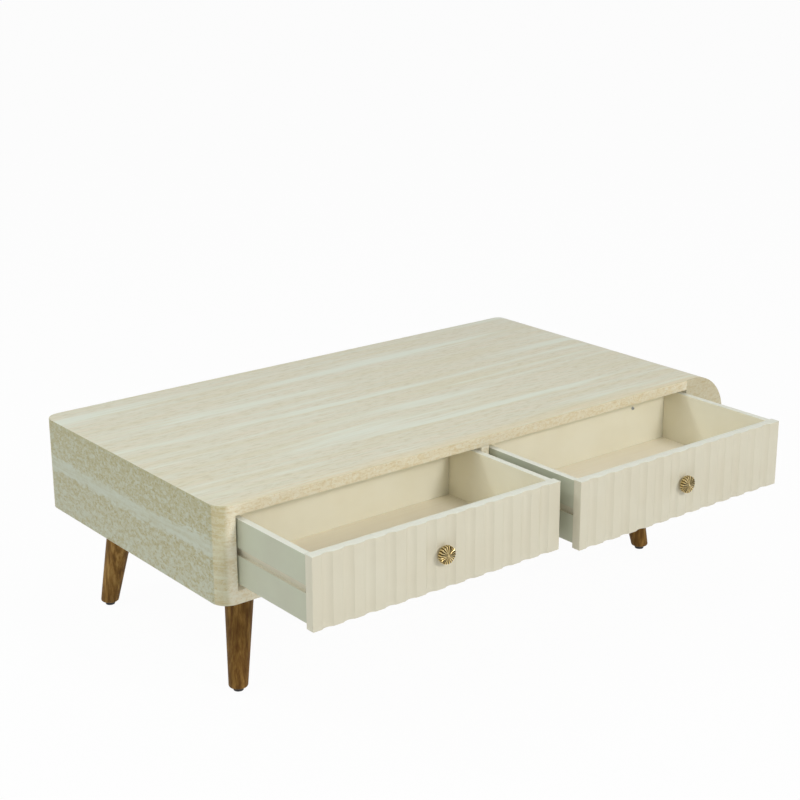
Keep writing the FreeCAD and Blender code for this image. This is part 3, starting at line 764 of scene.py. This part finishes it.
for side in ("left", "right"):
    body = side + "_drawer"
    baseLow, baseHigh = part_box(body + "_bottom")
    lacquer, inside, edging = (finishes["cream_" + key] for key in ("lacquer", "inside", "edge"))
    bm = flutedBoard(body + "_front")
    piece = addPiece(body + "FlutedFront", bm, lacquer, body, [body + "_front"],
                     flutedFront["sharp"])
    # painted light: the front's back face takes the lighter inside copy
    refinish(piece, inside, lambda face: face.normal.y > mostly)
    refinish(piece, edging, lambda face: face.normal.z > mostly)
    for hand, inner in (("left", 1), ("right", -1)):
        node = f"{body}_side_{hand}"
        bm = groovedSide(node, hand == "left", baseLow.z, baseHigh.z)
        piece = addPiece(f"{body}Side.{hand}", bm, lacquer, body, [node])
        edgeLow = baseHigh.z + drawerBoard["edgeAbove"]
        # painted shade on the sides' outer faces, painted light on their inner faces
        refinish(piece, finishes["cream_outside_painted_shade"],
                 lambda face: face.normal.x * inner < -mostly and not inGroove(face, node))
        refinish(piece, finishes["cream_side_painted_light"], lambda face: face.normal.x * inner > mostly)
        refinish(piece, edging, lambda face: face.normal.z > mostly and face.center.z > edgeLow)
    # painted light: the back board takes the lighter inside copy all over
    bm = softBoard(*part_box(body + "_back"), drawerBoard["soft"])
    piece = addPiece(body + "BackBoard", bm, inside, body, [body + "_back"])
    refinish(piece, edging, lambda face: face.normal.z > mostly)
    bm = softBoard(baseLow, baseHigh, drawerBoard["baseSoft"])
    addPiece(body + "FloorBoard", bm, finishes["cream_board"], body, [body + "_bottom"])
    bm = starKnob(body + "_knob")
    knob = addPiece(body + "StarKnob", bm, finishes["brass"], body, [body + "_knob"],
                    knobForm["sharp"])
    knobLow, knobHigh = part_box(body + "_knob")
    # painted reflection: dark plating on the valley half of each ray
    refinish(knob, finishes["dark_brass_painted_reflection"], lambda face: inValley(face, (knobLow + knobHigh) / 2))
    bm = crossScrew(body + "_stop_screw")
    addPiece(body + "StopScrew", bm, finishes["steel"], body, [body + "_stop_screw"],
             screwForm["sharp"])
print("drawers made")

legForm = {
    "around": 72, "shaftSteps": 12,
    "topRadius": 0.027, "footRadius": 0.017, "footRound": 0.0040, "footSteps": 4,     # metres
}


def circle(centre, radius):
    ring = []
    for turn in turns(legForm["around"]):
        ring.append((centre.x + radius * math.cos(turn), centre.y + radius * math.sin(turn), centre.z))
    return ring


def turnedLeg(node, outX, outY):
    # splayed round taper with a softened lower edge
    low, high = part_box(node)
    big, small, soft = legForm["topRadius"], legForm["footRadius"], legForm["footRound"]

    def against(axis, way, radius):
        # middle of a circle that touches the box's low side, or its high side where way is positive
        return high[axis] - radius if way > 0 else low[axis] + radius

    top = Vector((against(0, -outX, big), against(1, -outY, big), high.z))
    foot = Vector((against(0, outX, small), against(1, outY, small), low.z))
    rings = []
    for angle in quarter(legForm["footSteps"]):
        centre = Vector((foot.x, foot.y, foot.z + soft * (1 - math.cos(angle))))
        rings.append(circle(centre, small - soft * (1 - math.sin(angle))))
    for step in range(1, legForm["shaftSteps"] + 1):
        share = step / legForm["shaftSteps"]
        centre = (foot + Vector((0, 0, soft))).lerp(top, share)
        rings.append(circle(centre, small + (big - small) * share))
    return ringMesh(rings)


padForm = {
    "tall": 0.0070, "soft": 0.0012,      # metres
    "bow": 0.3, "neck": 0.9,             # bulge of the lower edge in softs, upper rim in radii
}


def footPad(node):
    low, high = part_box(node)
    middle = (low + high) / 2
    radius, tall, soft = (high.x - low.x) / 2, padForm["tall"], padForm["soft"]
    bow = soft * padForm["bow"]
    profile = [(radius - soft, 0.0), (radius - bow, bow), (radius, soft), (radius, tall - soft),
               (radius * padForm["neck"], tall)]
    rings = []
    for wide, lift in profile:
        rings.append(circle(Vector((middle.x, middle.y, low.z + lift)), wide))
    return ringMesh(rings)


for end, outY in (("front", -1), ("back", 1)):
    for hand, outX in (("left", -1), ("right", 1)):
        node = f"{end}_{hand}_leg"
        bm = turnedLeg(node, outX, outY)
        # the back legs take the lighter copy of the stain as painted light
        stain = finishes["leg_wood_back_painted_light" if end == "back" else "leg_wood"]
        addPiece(f"turnedLeg.{end}.{hand}", bm, stain, "case", [node])
        node = f"{end}_{hand}_foot_pad"
        bm = footPad(node)
        addPiece(f"footPad.{end}.{hand}", bm, finishes["black_plastic"], "case", [node])
print("legs made")

studio = {
    "white": tint(254, 254, 254),
    "floorColour": tint(246, 246, 245), "floorGrain": (0.7, 0.7, 1.0, 2.0, 0.5, 0.0),
    "floorShow": 0.975,                      # share of plain white that the camera sees
    "floorHalf": 40.0, "floorCells": 8,      # half of the floor's side, metres
    "ambient": (0.97, 1.0, 0.98, 1.0), "ambientStrength": 0.25,
    "lamps": [
        # name, place, aim, width, height, watts, colour
        ("keyLamp", (0.95, -6.3, 3.5), (0.0, 0.0, 0.30), 1.3, 1.3, 214.0, (1.0, 0.995, 0.99)),
        ("frontLeftLamp", (-2.2, -2.8, 1.8), (0.0, 0.0, 0.30), 1.6, 1.6, 11.2, (0.97, 1.0, 0.98)),
        ("leftLamp", (-3.0, -0.1, 1.6), (0.0, 0.0, 0.25), 0.8, 1.2, 12.4, (0.96, 1.0, 0.97)),
        ("backLeftLamp", (-2.0, 1.1, 2.7), (0.0, 0.0, 0.30), 0.6, 0.6, 25.0, (0.92, 1.0, 1.02)),
        ("overheadLamp", (0.35, 0.1, 3.2), (0.0, 0.05, 0.37), 3.0, 2.4, 31.0, (1.0, 1.0, 1.0)),
    ],
}


def whiteFloor():
    # matt to the light, and nearly white to the camera and in the brass; it keeps the table's shadow
    shade = Shade("studioFloor")
    x, y, _ = shade.place()
    cloud = shade.noise((x, y, 1.0), studio["floorGrain"])
    paint = shade.mix(cloud, studio["floorColour"], studio["white"])
    matt = shade.node("BsdfDiffuse", None, {"Color": paint})
    bright = shade.node("Emission", None, {"Color": studio["white"], "Strength": 1.0})
    seen = shade.node("LightPath", out="Is Camera Ray")
    for kind in ("Glossy", "Transmission"):
        seen = shade.math("MAXIMUM", seen, shade.node("LightPath", out=f"Is {kind} Ray"))
    shader = shade.node("MixShader", None, {0: seen * studio["floorShow"], 1: matt, 2: bright})
    shade.node("OutputMaterial", None, {"Surface": shader})
    bm = bmesh.new()
    cells = studio["floorCells"]
    bmesh.ops.create_grid(bm, x_segments=cells, y_segments=cells, size=studio["floorHalf"])
    mesh = bpy.data.meshes.new("studioFloor")
    bm.to_mesh(mesh)
    bm.free()
    mesh.materials.append(shade.material)
    floor = bpy.data.objects.new("studioFloor", mesh)
    scene.collection.objects.link(floor)


def whiteWorld():
    world = bpy.data.worlds.new("studioWorld")
    world.use_nodes = True
    scene.world = world
    shade = Shade("studioWorld", world.node_tree)
    soft = {"Color": studio["ambient"], "Strength": studio["ambientStrength"]}
    ambient = shade.node("Background", None, soft)
    white = shade.node("Background", None, {"Color": studio["white"], "Strength": 1.0})
    way = shade.node("SeparateXYZ", None, {0: shade.node("TexCoord", out="Generated")}, out=1)
    behind = shade.step(way, -0.2, 0.2)      # the white backdrop stands behind the table
    mirrored = shade.node("LightPath", out="Is Glossy Ray") * behind
    seen = shade.math("MAXIMUM", shade.node("LightPath", out="Is Camera Ray"), mirrored)
    seen = shade.math("MAXIMUM", seen, shade.node("LightPath", out="Is Transmission Ray"))
    shader = shade.node("MixShader", None, {0: seen, 1: ambient, 2: white})
    shade.node("OutputWorld", None, {"Surface": shader})


def lamps():
    for name, place, aim, width, height, watts, colour in studio["lamps"]:
        light = bpy.data.lights.new(name, "AREA")
        light.shape = "RECTANGLE"
        light.size = width
        light.size_y = height
        light.energy = watts
        light.color = colour
        lamp = bpy.data.objects.new(name, light)
        lamp.location = place
        lamp.rotation_euler = (Vector(aim) - Vector(place)).to_track_quat("-Z", "Y").to_euler()
        scene.collection.objects.link(lamp)


photoCamera = {
    "fromCorner": (-1.26823, -2.05896, 0.95011),      # from the case's front left top corner, metres
    "heading": 38.46, "tilt": 17.8, "roll": -0.22,    # degrees
    "focal": 1634.5 / 800,                            # in picture widths
    "sensor": 36.0, "clipEnd": 100.0,                 # millimetres, metres
}


def camera():
    data = bpy.data.cameras.new("photoCamera")
    data.sensor_width = photoCamera["sensor"]
    data.lens = photoCamera["focal"] * data.sensor_width
    data.clip_end = photoCamera["clipEnd"]
    heading, tilt, roll = (math.radians(photoCamera[key]) for key in ("heading", "tilt", "roll"))
    level = math.cos(tilt)
    ahead = Vector((math.sin(heading) * level, math.cos(heading) * level, -math.sin(tilt)))
    right = Vector((math.cos(heading), -math.sin(heading), 0))
    up = right.cross(ahead)
    rolledRight = math.cos(roll) * right + math.sin(roll) * up
    rolledUp = -math.sin(roll) * right + math.cos(roll) * up
    eye = bpy.data.objects.new("photoCamera", data)
    corner = Vector((topLow.x, topLow.y, topHigh.z))
    turn = Matrix((rolledRight, rolledUp, -ahead)).transposed()
    eye.matrix_world = Matrix.Translation(corner + Vector(photoCamera["fromCorner"])) @ turn.to_4x4()
    scene.collection.objects.link(eye)
    scene.camera = eye


whiteFloor()
whiteWorld()
lamps()
camera()
print("studio made")
